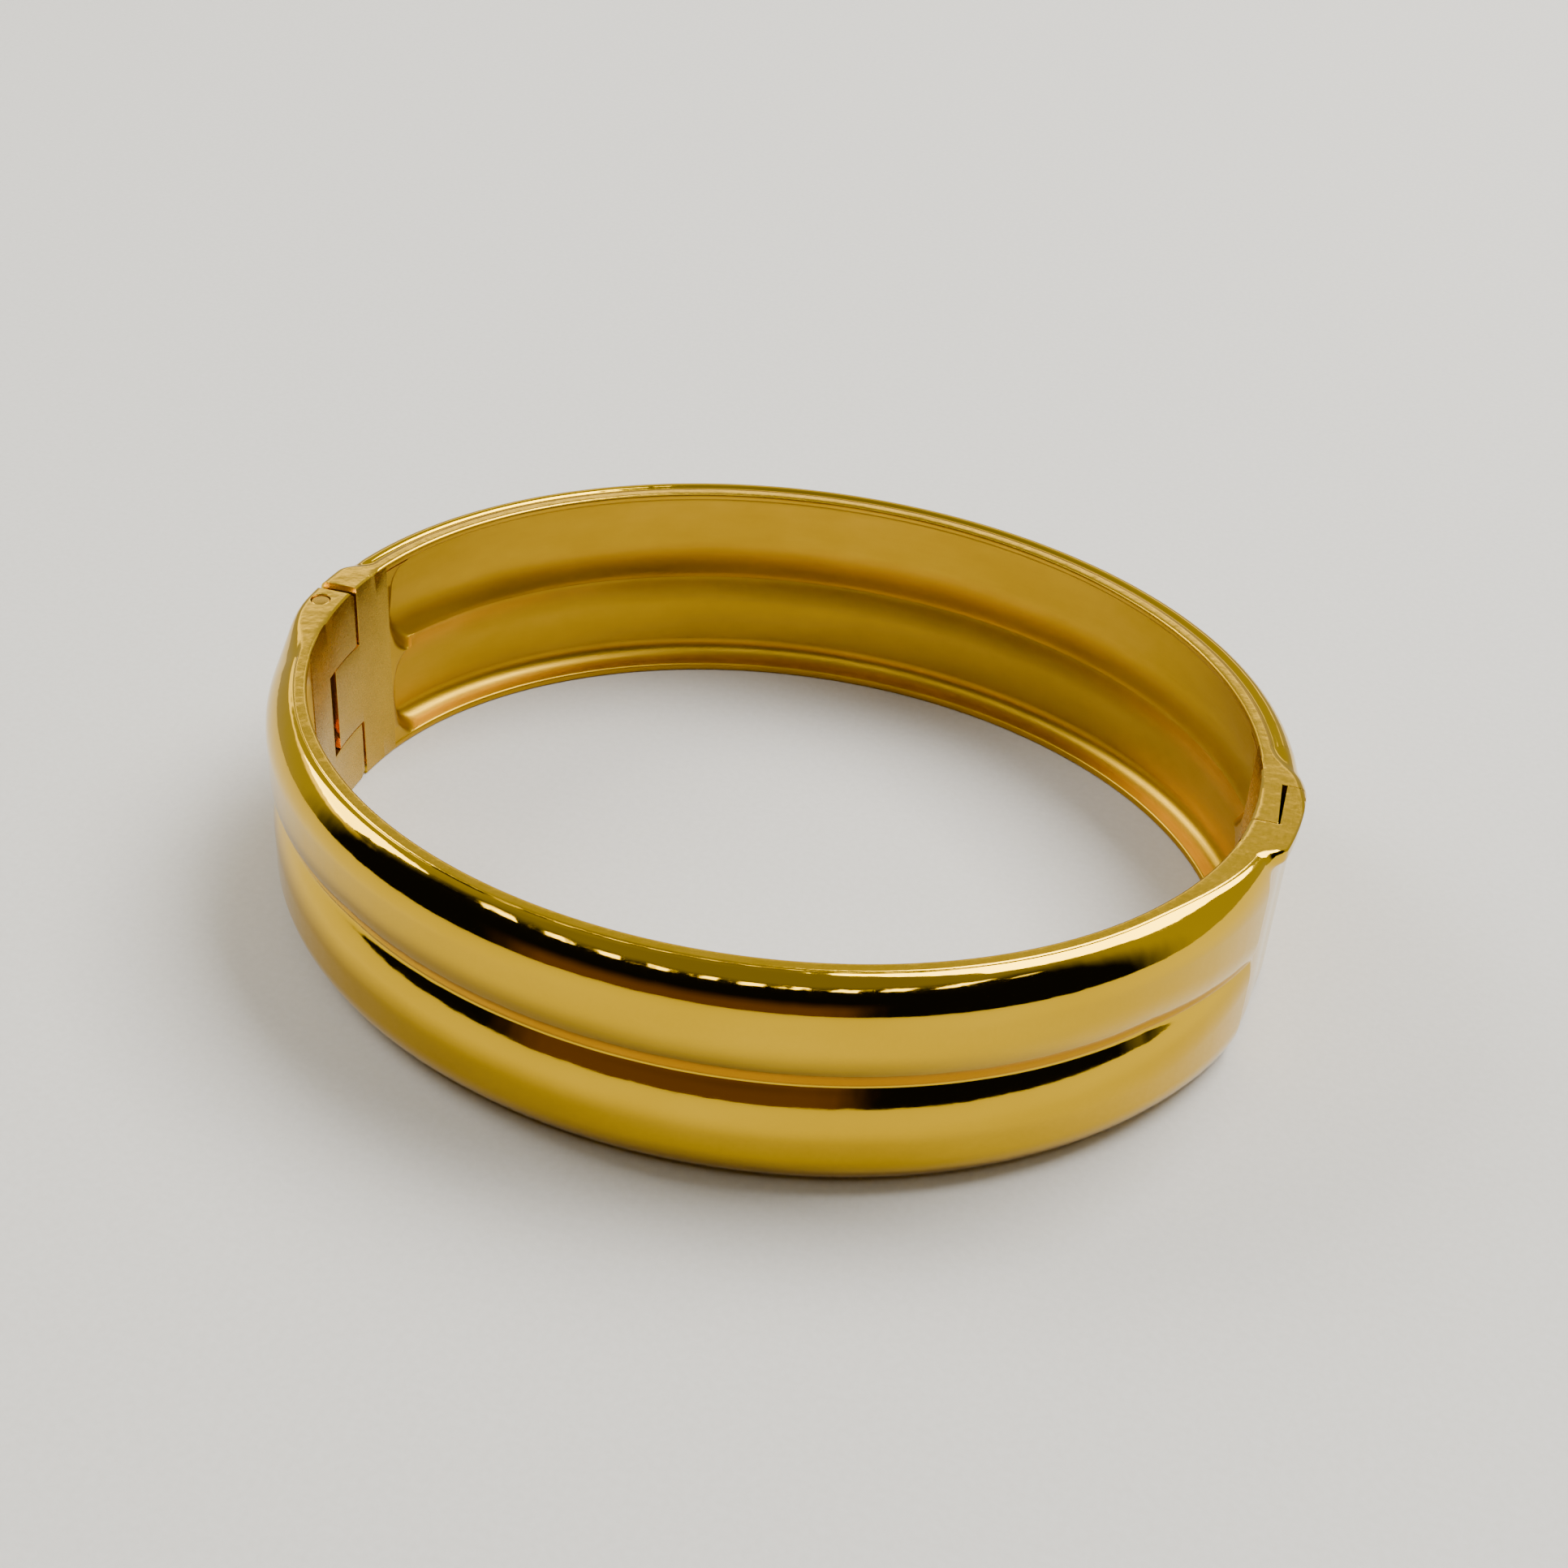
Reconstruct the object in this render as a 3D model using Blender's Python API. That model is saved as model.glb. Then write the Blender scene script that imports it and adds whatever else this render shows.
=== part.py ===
"""Hinged oval bangle: two stamped half ovals, a pin hinge and a stepped snap clasp.

+Z is the bangle's own axis, the hinge is at -X, the clasp at +X and the front half at -Y.
The origin is the middle of the outline, on the plane that the bangle lies on.
Sizes are in millimetres, and MM turns them into metres where a mesh is made.
In plan, a place is an angle round the inner oval and an offset outward from it.
"""

import math

import bmesh
import bpy

MM = 0.001

# The oval and the wall
HALF_LENGTH = 29.5  # inner oval, hinge to clasp
HALF_WIDTH = 24.9  # inner oval, front to back
HEIGHT = 14.8
MIDDLE = HEIGHT / 2
FLANGE_WIDTH = 0.85  # flat top of the flange
FLANGE_THICKNESS = 0.56
CREASE_DEPTH = 0.26  # valley between flange and rib
CREASE_GAP = 0.15  # from the flange to the bottom of that valley
SHOULDER_GAP = 0.27  # from the flange to the rib's shoulder
RIB_CREST = 2.7  # depth of the ribs' widest place below the flange
FRONT_SHOULDER = (2.88, 61.8)  # rise, and how far it turns in degrees
BACK_SHOULDER = (2.7, 106.0)
FRONT_BULGE = 2.64  # the ribs' greatest offset
BACK_BULGE = 2.72
FLANK_RADIUS = 6.7  # from the widest place towards the groove
GROOVE_OFFSET = 1.62
CHANNEL_OFFSET = 1.8  # greatest offset of the two channels inside
CHANNEL_CORNER = 1.2
RIDGE_OFFSET = 1.14
RIDGE_RADIUS = 6.2
BAND_COLUMNS = 36
CHANNEL_RUN_OUT = 1.6  # length over which a channel reaches its depth
CHANNEL_LEAST = 0.03  # share of the depth that a channel keeps at its ends

# The front band's outside flattens into its end blocks
CLASP_FADE = (13.8, 5.8)  # distances from the long axis where it starts and ends
CLASP_FLANGE = 1.6
CLASP_GROOVE = 2.42
HINGE_FADE = (19.5, 10.0)
HINGE_GROOVE = 2.3

# End blocks, by their distance from the long axis
HINGE_FRONT_Y = -6.2
HINGE_BACK_Y = 5.6
CLASP_FRONT_Y = -6.0
CLASP_BACK_Y = 5.0
HINGE_BULGE = 2.45
CLASP_BULGE = 2.77
JOINT_GAP = 0.04  # soldered butt joint between a block and its band
EDGE = 0.12  # small rounding of a block's edges
CLASP_UNDERSIDE = 0.8  # rounding of the clasp's lower outer edge
BLOCK_STEP = 0.8  # greatest length of a block's facets
HINGE_TOP = (1.1, 2.08)  # width of the hinge blocks' flat top, at the band and at the pin
HINGE_SHOULDER = 0.5  # drop of the shoulder beside that flat top, at the pin
HINGE_BACK_FADE = 2.0
CLASP_FADE_START = -1.5  # from here the clasp narrows towards the back
CLASP_NARROWING = (1.32, 0.1)  # of the flat top, and of the side
CLASP_TIP = (-4.4, 1.8, 0.3)  # start and length of the front taper, and what it takes off

# Hinge
PIN_OFFSET = 1.37  # pin axis, outward of the inner oval
PIN_Y = 0.16
PIN_RADIUS = 0.6
PIN_CLEARANCE = 0.05
PIN_RECESS = 0.05
PIN_SIDES = 32
PIN_CHAMFER = 0.08
EAR_END_Y = 1.95
EAR_CHAMFER = 0.5
SLOT_WALL_Y = -2.2
SLOT_HALF_HEIGHT = 3.1
KNUCKLE_CLEARANCE = 0.08
KNUCKLE_TIP_Y = -1.25
KNUCKLE_RECESS = 0.05  # behind the inner face
KNUCKLE_FLAT_END = -0.2  # where the tip starts to curve, outward of the pin axis
KNUCKLE_OUTER = -0.9  # the knuckle's outer face
KNUCKLE_ROOT = 0.6  # overlap with the block that carries it
SHOULDER_Y = 2.25  # the back block's shoulders, which face the ears

# Stepped lap of the clasp, in plan
LAP_FRONT_Y = -2.9  # inner cross cut
LAP_BACK_Y = 1.2  # outer cross cut
LAP_CLEARANCE = 0.06
INNER_LIP_OFFSETS = (1.35, 1.2)  # outer face of the inner lip, at its tip and at its root
OUTER_LIP_OFFSETS = (1.48, 1.53)  # inner face of the outer lip, at the same places

# Snap catch
CATCH_Y = -0.8
POCKET_FLOOR = 0.55  # all catch offsets are outward of the oval's end
POCKET_REACH = 1.9  # open side of the pocket, past the inner lip
POCKET_HALF_WIDTH = 1.3
POCKET_Z = (3.1, 11.4)
LEAF_HALF_WIDTH = 1.1
LEAF_THICKNESS = 0.2
LEAF_ROOT_OFFSET = 0.65
LEAF_LIFT = 0.25
LEAF_Z = (3.4, 5.5, 6.3, 10.9)  # root end, start of the bend, end of the bend, tip
BUMP_Z = 10.0
BUMP_RADIUS = 0.7
BUMP_BASE_OFFSET = 1.0
DIMPLE_CLEARANCE = 0.08
RIVET_Z = 4.5
RIVET_SHANK = 0.35
RIVET_HEAD = 0.6
RIVET_HEAD_THICKNESS = 0.2
RIVET_CROWN = 0.6  # width of the head's flat, as a share
RIVET_DEPTH = 0.35  # shank below the pocket's floor
RIVET_CLEARANCE = 0.05

# Centring the outline on the origin
OVAL_X = (HINGE_BULGE - CLASP_BULGE) / 2
HINGE_X = OVAL_X - HALF_LENGTH
CLASP_X = OVAL_X + HALF_LENGTH
PIN_X = HINGE_X - PIN_OFFSET
FAR = 12.0  # reach of a cutter past what it cuts
OVER = 1.0  # the same, above and below
SHARP_ANGLE = 35  # degrees


# ---------------------------------------------------------------- plan and section


def angle_at(y, side):
    """Angle round the oval of the point at this distance from the long axis; side is +1 or -1 in X."""
    angle = math.asin(y / HALF_WIDTH)
    return angle if side > 0 else math.copysign(math.pi, y) - angle


def oval_point(angle, offset):
    """Plan position at an angle round the inner oval, offset along the outward normal."""
    x = HALF_LENGTH * math.cos(angle)
    y = HALF_WIDTH * math.sin(angle)
    normal_x = math.cos(angle) / HALF_LENGTH
    normal_y = math.sin(angle) / HALF_WIDTH
    length = math.hypot(normal_x, normal_y)
    return OVAL_X + x + offset * normal_x / length, y + offset * normal_y / length


def oval_speed(angle):
    """Length of oval for each radian."""
    return math.hypot(HALF_LENGTH * math.sin(angle), HALF_WIDTH * math.cos(angle))


def smooth(t):
    t = min(max(t, 0.0), 1.0)
    return t * t * (3 - 2 * t)


def arc(centre, radius, start, end, steps):
    """(offset, height) points on a circle, from one angle in degrees to another."""
    points = []
    for step in range(steps + 1):
        angle = math.radians(start + (end - start) * step / steps)
        points.append((centre[0] + radius * math.cos(angle), centre[1] + radius * math.sin(angle)))
    return points


def mirrored_loop(upper):
    """Closes a section: the upper half runs from the outer middle, over the top, to the inner middle."""
    lower = [(offset, HEIGHT - height) for offset, height in upper[1:-1]]
    return upper + lower[::-1]


def fade(angle, places):
    """0 before the first distance from the long axis, and 1 past the second."""
    reach = abs(HALF_WIDTH * math.sin(angle))
    return min(max((places[0] - reach) / (places[0] - places[1]), 0.0), 1.0)


def mix(start, end, share):
    return start + (end - start) * share


def flank(bulge, deepest, radius, steps):
    """From the deepest place at the middle up to the widest place."""
    turn = math.degrees(math.acos(1 - (bulge - deepest) / radius))
    widest = MIDDLE + radius * math.sin(math.radians(turn))
    return arc((bulge - radius, widest), radius, -turn, 0, steps)


def wall_outside(angle):
    """The outer half of the band's section, from the groove to the flange's inner edge."""
    front = math.sin(angle) < 0
    rise, turn = FRONT_SHOULDER if front else BACK_SHOULDER
    bulge = FRONT_BULGE if front else BACK_BULGE
    flange, groove = FLANGE_WIDTH, GROOVE_OFFSET
    if front and math.cos(angle) > 0:
        share = fade(angle, CLASP_FADE)
        flange = mix(FLANGE_WIDTH, CLASP_FLANGE, smooth(share))
        groove = mix(GROOVE_OFFSET, CLASP_GROOVE, share)
    elif front:
        groove = mix(GROOVE_OFFSET, HINGE_GROOVE, fade(angle, HINGE_FADE))
    start = flange + SHOULDER_GAP
    width = (bulge - start) / (1 - math.cos(math.radians(turn)))
    points = flank(bulge, groove, FLANK_RADIUS, 4)
    for step in range(7):
        here = math.radians(turn * step / 6)
        height = HEIGHT - RIB_CREST + rise * math.sin(here)
        points.append((bulge - width * (1 - math.cos(here)), min(height, HEIGHT)))
    return points + [(flange + CREASE_GAP, HEIGHT - CREASE_DEPTH), (flange, HEIGHT), (0.0, HEIGHT)]


def wall_section(angle, channel):
    """The band's section. channel is the channels' share of their full depth."""
    under = HEIGHT - FLANGE_THICKNESS
    corner = (CHANNEL_OFFSET - CHANNEL_CORNER, under - CHANNEL_CORNER)
    inner = arc(corner, CHANNEL_CORNER, 90, 0, 4)
    inner += flank(CHANNEL_OFFSET, RIDGE_OFFSET, RIDGE_RADIUS, 3)[::-1]
    inner = [(offset * channel, height) for offset, height in inner]
    return mirrored_loop(wall_outside(angle) + [(0.0, under)] + inner)


def block_section(top_width, bulge, shoulder, underside=None):
    """A solid end block's section: flat top, rounded shoulder, upright side.

    underside is (flat width, drop) where the lower outer edge differs from the upper one.
    """
    upper = shoulder_points(top_width, bulge, shoulder)
    lower = shoulder_points(underside[0], bulge, underside[1]) if underside else upper
    inner = [(EDGE, HEIGHT), (0.0, HEIGHT - EDGE), (0.0, MIDDLE), (0.0, EDGE), (EDGE, 0.0)]
    below = [(offset, HEIGHT - height) for offset, height in lower[::-1]]
    return [(bulge, MIDDLE)] + upper + inner + below


def shoulder_points(top_width, bulge, drop):
    points = []
    for step in range(5):
        turn = math.pi / 2 * step / 4
        offset = top_width + (bulge - top_width) * math.cos(turn)
        points.append((offset, HEIGHT - drop + drop * math.sin(turn)))
    return points


# ---------------------------------------------------------------- meshes and objects


def material(name, colour, roughness):
    made = bpy.data.materials.new(name)
    made.use_nodes = True
    shader = made.node_tree.nodes["Principled BSDF"]
    shader.inputs["Base Color"].default_value = (*colour, 1.0)
    shader.inputs["Metallic"].default_value = 1.0
    shader.inputs["Roughness"].default_value = roughness
    return made


def object_from(name, bm, finish=None, origin=(0.0, 0.0, 0.0)):
    """An object from a bmesh in millimetres, with its origin at this point."""
    for vert in bm.verts:
        vert.co = [(here - there) * MM for here, there in zip(vert.co, origin)]
    bmesh.ops.recalc_face_normals(bm, faces=bm.faces)
    mesh = bpy.data.meshes.new(name)
    bm.to_mesh(mesh)
    bm.free()
    mesh.shade_smooth()
    mesh.set_sharp_from_angle(angle=math.radians(SHARP_ANGLE))
    made = bpy.data.objects.new(name, mesh)
    made.location = [value * MM for value in origin]
    bpy.context.scene.collection.objects.link(made)
    if finish:
        mesh.materials.append(finish)
    return made


def loft(angles, section_at):
    """A solid along the oval: section_at gives the closed section at each angle, all of one length."""
    bm = bmesh.new()
    rings = []
    for angle in angles:
        ring = []
        for offset, height in section_at(angle):
            ring.append(bm.verts.new((*oval_point(angle, offset), height)))
        rings.append(ring)
    count = len(rings[0])
    for one, two in zip(rings, rings[1:]):
        for here in range(count):
            after = (here + 1) % count
            bm.faces.new((one[here], one[after], two[after], two[here]))
    bm.faces.new(rings[0][::-1])
    bm.faces.new(rings[-1])
    return bm


def prism(outline, low, high, upright="Z"):
    """An outline in the other two coordinates, extruded from low to high along X, Y or Z."""
    places = {"X": lambda a, b, c: (c, a, b), "Y": lambda a, b, c: (a, c, b), "Z": lambda a, b, c: (a, b, c)}
    place = places[upright]
    bm = bmesh.new()
    bottom = [bm.verts.new(place(a, b, low)) for a, b in outline]
    top = [bm.verts.new(place(a, b, high)) for a, b in outline]
    bm.faces.new(bottom[::-1])
    bm.faces.new(top)
    count = len(outline)
    for here in range(count):
        after = (here + 1) % count
        bm.faces.new((bottom[here], bottom[after], top[after], top[here]))
    return bm


def block(low, high):
    """An upright box between two corners."""
    outline = [(low[0], low[1]), (high[0], low[1]), (high[0], high[1]), (low[0], high[1])]
    return prism(outline, low[2], high[2])


def turned(profile, centre, axis, sides=24):
    """A solid of revolution. profile is (distance along the axis, radius), and axis is X or Z."""
    bm = bmesh.new()
    rings = []
    for along, radius in profile:
        ring = []
        for side in range(sides):
            angle = 2 * math.pi * side / sides
            across = (radius * math.cos(angle), radius * math.sin(angle))
            shift = (along, *across) if axis == "X" else (*across, along)
            ring.append(bm.verts.new([here + there for here, there in zip(centre, shift)]))
        rings.append(ring)
    for one, two in zip(rings, rings[1:]):
        for side in range(sides):
            after = (side + 1) % sides
            bm.faces.new((one[side], one[after], two[after], two[side]))
    bm.faces.new(rings[0][::-1])
    bm.faces.new(rings[-1])
    return bm


def boolean(target, name, bm, operation="DIFFERENCE"):
    """Cuts or joins with a helper that stays out of the model."""
    helper = object_from(name, bm)
    helper.hide_render = True
    helper.display_type = "WIRE"
    modifier = target.modifiers.new(name, "BOOLEAN")
    modifier.object = helper
    modifier.operation = operation


# ---------------------------------------------------------------- bands


def band(name, start, end, finish):
    """A half oval of the wall between two angles. Its channels run out flat at both ends."""
    inset_start = JOINT_GAP / oval_speed(start)
    inset_end = JOINT_GAP / oval_speed(end)
    start += math.copysign(inset_start, end - start)
    end -= math.copysign(inset_end, end - start)

    def section_at(angle):
        run = min(abs(angle - start), abs(angle - end)) * oval_speed(angle)
        return wall_section(angle, mix(CHANNEL_LEAST, 1.0, smooth(run / CHANNEL_RUN_OUT)))

    run_out = CHANNEL_RUN_OUT / oval_speed(start)
    shares = [0.0, 0.35, 0.7, 1.0]
    first = [start + math.copysign(run_out * share, end - start) for share in shares]
    last = [end - math.copysign(run_out * share, end - start) for share in reversed(shares)]
    middle = []
    for column in range(1, BAND_COLUMNS):
        middle.append(first[-1] + (last[0] - first[-1]) * column / BAND_COLUMNS)
    return object_from(name, loft(first + middle + last, section_at), finish)


# ---------------------------------------------------------------- end blocks


def block_angles(y_start, y_end, side):
    """Angles across an end block, from one distance from the long axis to another."""
    count = math.ceil(abs(y_end - y_start) / BLOCK_STEP)
    heights = [y_start + (y_end - y_start) * step / count for step in range(count + 1)]
    if side > 0:
        return [angle_at(y, side) for y in heights]
    return [math.pi - math.asin(y / HALF_WIDTH) for y in heights]


def hinge_section(angle):
    """The hinge block widens from the flange's width to its own towards the pin."""
    y = HALF_WIDTH * math.sin(angle)
    if y < SHOULDER_Y:
        near = smooth((y - HINGE_FRONT_Y) / (PIN_Y - HINGE_FRONT_Y))
        bulge = mix(FRONT_BULGE, HINGE_BULGE, near)
    else:
        near = smooth((HINGE_BACK_Y - y) / HINGE_BACK_FADE)
        bulge = mix(BACK_BULGE, HINGE_BULGE, near)
    return block_section(mix(*HINGE_TOP, near), bulge, mix(RIB_CREST, HINGE_SHOULDER, near))


def clasp_section(angle):
    """The clasp block is widest in front, and narrows to the flange's width at the back."""
    y = HALF_WIDTH * math.sin(angle)
    back = smooth((y - CLASP_FADE_START) / (CLASP_BACK_Y - CLASP_FADE_START))
    tip_start, tip_length, tip_taper = CLASP_TIP
    front = tip_taper * smooth((tip_start - y) / tip_length)
    top_narrowing, side_narrowing = CLASP_NARROWING
    bulge = CLASP_BULGE - side_narrowing * back - front
    top_width = CLASP_BULGE - EDGE - top_narrowing * back - front
    drop = mix(EDGE, RIB_CREST, back ** 2)
    underside = (min(top_width, bulge - CLASP_UNDERSIDE), max(drop, CLASP_UNDERSIDE))
    return block_section(top_width, bulge, drop, underside)


def pin_bore(radius):
    return turned([(-OVER, radius), (HEIGHT + OVER, radius)], (PIN_X, PIN_Y, 0.0), "Z", PIN_SIDES)


def ear_end_cutter():
    """Cuts the ears' ends square, with a chamfer at the top and at the bottom."""
    left, right = HINGE_X - FAR, HINGE_X + FAR
    chamfered = EAR_END_Y - EAR_CHAMFER - OVER
    over = EAR_CHAMFER + OVER
    outline = [(chamfered, -OVER), (EAR_END_Y, EAR_CHAMFER), (EAR_END_Y, HEIGHT - EAR_CHAMFER)]
    outline += [(chamfered, HEIGHT + OVER), (FAR, HEIGHT + over), (FAR, -over)]
    return prism(outline, left, right, "X")


def front_hinge_block(finish):
    angles = block_angles(HINGE_FRONT_Y, EAR_END_Y + OVER, -1)
    made = object_from("front_hinge_block", loft(angles, hinge_section), finish)
    boolean(made, "ear_end_cutter", ear_end_cutter())
    low, high = MIDDLE - SLOT_HALF_HEIGHT, MIDDLE + SLOT_HALF_HEIGHT
    slot = block((HINGE_X - FAR, SLOT_WALL_Y, low), (HINGE_X + FAR, FAR, high))
    boolean(made, "knuckle_slot_cutter", slot)
    boolean(made, "ear_bore_cutter", pin_bore(PIN_RADIUS + PIN_CLEARANCE))
    return made


def knuckle_outline():
    """The knuckle in plan: its tip is square inside, and rounded outside so that it can turn."""
    inner = PIN_OFFSET - KNUCKLE_RECESS
    tip = KNUCKLE_TIP_Y - PIN_Y
    radius = math.hypot(KNUCKLE_FLAT_END, tip)
    start = math.atan2(tip, KNUCKLE_FLAT_END)
    end = -math.pi + math.acos(-KNUCKLE_OUTER / radius)
    root = SHOULDER_Y + KNUCKLE_ROOT
    outline = [(PIN_X + inner, root), (PIN_X + inner, KNUCKLE_TIP_Y)]
    for step in range(7):
        angle = mix(start, end, step / 6)
        outline.append((PIN_X + radius * math.cos(angle), PIN_Y + radius * math.sin(angle)))
    outline.append((PIN_X + KNUCKLE_OUTER, root))
    return outline[::-1]


def back_hinge_block(finish):
    """Its origin is on the hinge's axis."""
    bm = loft(block_angles(SHOULDER_Y, HINGE_BACK_Y, -1), hinge_section)
    made = object_from("back_hinge_block", bm, finish, (PIN_X, PIN_Y, 0.0))
    half = SLOT_HALF_HEIGHT - KNUCKLE_CLEARANCE
    boolean(made, "knuckle_helper", prism(knuckle_outline(), MIDDLE - half, MIDDLE + half), "UNION")
    boolean(made, "knuckle_bore_cutter", pin_bore(PIN_RADIUS + PIN_CLEARANCE))
    return made


def hinge_pin(finish):
    profile = [(PIN_RECESS, PIN_RADIUS - PIN_CHAMFER), (PIN_RECESS + PIN_CHAMFER, PIN_RADIUS)]
    profile += [(HEIGHT - along, radius) for along, radius in reversed(profile)]
    bm = turned(profile, (PIN_X, PIN_Y, 0.0), "Z", PIN_SIDES)
    return object_from("hinge_pin", bm, finish, (PIN_X, PIN_Y, 0.0))


def lap_cutter(offsets, front, back, keep_front):
    """Prism over one side of the stepped lap, for the half that has to give way there."""
    tip, root = offsets
    step = [(CLASP_X + tip, front), (CLASP_X + root, back)]
    if keep_front:
        outline = [(CLASP_X - FAR, front), *step, (CLASP_X + FAR, back)]
        outline += [(CLASP_X + FAR, FAR), (CLASP_X - FAR, FAR)]
    else:
        outline = [(CLASP_X - FAR, -FAR), (CLASP_X + FAR, -FAR), (CLASP_X + FAR, back)]
        outline += [*step[::-1], (CLASP_X - FAR, front)]
    return prism(outline, -OVER, HEIGHT + OVER)


def front_clasp_block(finish):
    bm = loft(block_angles(CLASP_FRONT_Y, CLASP_BACK_Y, 1), clasp_section)
    made = object_from("front_clasp_block", bm, finish)
    back = LAP_BACK_Y - LAP_CLEARANCE
    boolean(made, "inner_lip_space", lap_cutter(OUTER_LIP_OFFSETS, LAP_FRONT_Y, back, True))
    radius = BUMP_RADIUS + DIMPLE_CLEARANCE
    centre = (CLASP_X + BUMP_BASE_OFFSET, CATCH_Y, BUMP_Z)
    boolean(made, "dimple_cutter", turned(dome_profile(radius, 6), centre, "X"))
    return made


def dome_profile(radius, steps):
    """A half sphere that rises along the axis, with a small flat at its top."""
    profile = []
    for step in range(steps):
        angle = math.pi / 2 * step / steps
        profile.append((radius * math.sin(angle), radius * math.cos(angle)))
    return profile + [(radius, radius * 0.1)]


def back_clasp_block(finish):
    """Its origin is on the hinge's axis."""
    bm = loft(block_angles(CLASP_FRONT_Y, CLASP_BACK_Y, 1), clasp_section)
    made = object_from("back_clasp_block", bm, finish, (PIN_X, PIN_Y, 0.0))
    front = LAP_FRONT_Y + LAP_CLEARANCE
    boolean(made, "outer_lip_space", lap_cutter(INNER_LIP_OFFSETS, front, LAP_BACK_Y, False))
    low = (CLASP_X + POCKET_FLOOR, CATCH_Y - POCKET_HALF_WIDTH, POCKET_Z[0])
    high = (CLASP_X + POCKET_REACH, CATCH_Y + POCKET_HALF_WIDTH, POCKET_Z[1])
    boolean(made, "pocket_cutter", block(low, high))
    radius = RIVET_SHANK + RIVET_CLEARANCE
    shank = [(POCKET_FLOOR - RIVET_DEPTH - RIVET_CLEARANCE, radius), (POCKET_FLOOR + 0.3, radius)]
    boolean(made, "rivet_hole_cutter", turned(shank, (CLASP_X, CATCH_Y, RIVET_Z), "X"))
    return made


# ---------------------------------------------------------------- snap catch


def leaf_outline():
    """The leaf from its side, in X and Z: flat root, lifting bend, straight tongue."""
    inner = CLASP_X + LEAF_ROOT_OFFSET
    outer = inner + LEAF_THICKNESS
    root, bend, lifted, tip = LEAF_Z
    outline = [(inner, root), (outer, root), (outer, bend), (outer + LEAF_LIFT, lifted)]
    outline += [(outer + LEAF_LIFT, tip), (inner + LEAF_LIFT, tip)]
    return outline + [(inner + LEAF_LIFT, lifted), (inner, bend)]


def catch_spring(finish):
    """A leaf spring with a domed bump. Its origin is where it bends, at the rivet."""
    low, high = CATCH_Y - LEAF_HALF_WIDTH, CATCH_Y + LEAF_HALF_WIDTH
    origin = (CLASP_X + LEAF_ROOT_OFFSET, CATCH_Y, RIVET_Z)
    made = object_from("catch_spring", prism(leaf_outline(), low, high, "Y"), finish, origin)
    bump = turned(dome_profile(BUMP_RADIUS, 5), (CLASP_X + BUMP_BASE_OFFSET, CATCH_Y, BUMP_Z), "X")
    boolean(made, "bump_helper", bump, "UNION")
    radius = RIVET_SHANK + RIVET_CLEARANCE
    hole = turned([(0.0, radius), (1.5, radius)], (CLASP_X, CATCH_Y, RIVET_Z), "X")
    boolean(made, "leaf_hole_cutter", hole)
    return made


def catch_rivet(finish):
    head = LEAF_ROOT_OFFSET + LEAF_THICKNESS + RIVET_CLEARANCE
    profile = [(POCKET_FLOOR - RIVET_DEPTH, RIVET_SHANK), (head, RIVET_SHANK), (head, RIVET_HEAD)]
    profile += [(head + RIVET_HEAD_THICKNESS / 2, RIVET_HEAD)]
    profile += [(head + RIVET_HEAD_THICKNESS, RIVET_HEAD * RIVET_CROWN)]
    return object_from("catch_rivet", turned(profile, (CLASP_X, CATCH_Y, RIVET_Z), "X"), finish)


# ---------------------------------------------------------------- assembly


def keep_under(parent, *pieces):
    """Parents pieces to an empty without moving them."""
    for piece in pieces:
        piece.parent = parent
        piece.matrix_parent_inverse = parent.matrix_world.inverted()


def empty(name, position):
    made = bpy.data.objects.new(name, None)
    made.location = [value * MM for value in position]
    made.empty_display_size = 0.01
    bpy.context.scene.collection.objects.link(made)
    bpy.context.view_layer.update()
    return made


def main():
    for leftover in list(bpy.data.objects):
        bpy.data.objects.remove(leftover)

    polished = material("polished_gold", (0.83, 0.57, 0.16), 0.12)
    steel = material("spring_steel", (0.62, 0.6, 0.57), 0.3)

    hinge_front = angle_at(HINGE_FRONT_Y, -1)
    clasp_front = angle_at(CLASP_FRONT_Y, 1)
    front = [band("front_band", hinge_front, clasp_front, polished)]
    front += [front_hinge_block(polished), hinge_pin(polished), front_clasp_block(polished)]

    clasp_back = angle_at(CLASP_BACK_Y, 1)
    hinge_back = angle_at(HINGE_BACK_Y, -1)
    back = [band("back_band", clasp_back, hinge_back, polished)]
    back += [back_hinge_block(polished), back_clasp_block(polished)]
    back += [catch_spring(steel), catch_rivet(steel)]

    keep_under(empty("front_half", (0.0, 0.0, 0.0)), *front)
    keep_under(empty("back_half", (PIN_X, PIN_Y, 0.0)), *back)


main()
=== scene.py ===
"""Looks for the hinged oval bangle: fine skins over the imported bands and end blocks.

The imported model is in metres. The shapes here are worked out in millimetres, and MM turns
them into metres where a mesh is made. In plan, a place is an angle round the inner oval and
an offset outward from it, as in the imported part.
"""

import math

import bmesh
import bpy
from mathutils import Matrix, Vector


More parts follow.
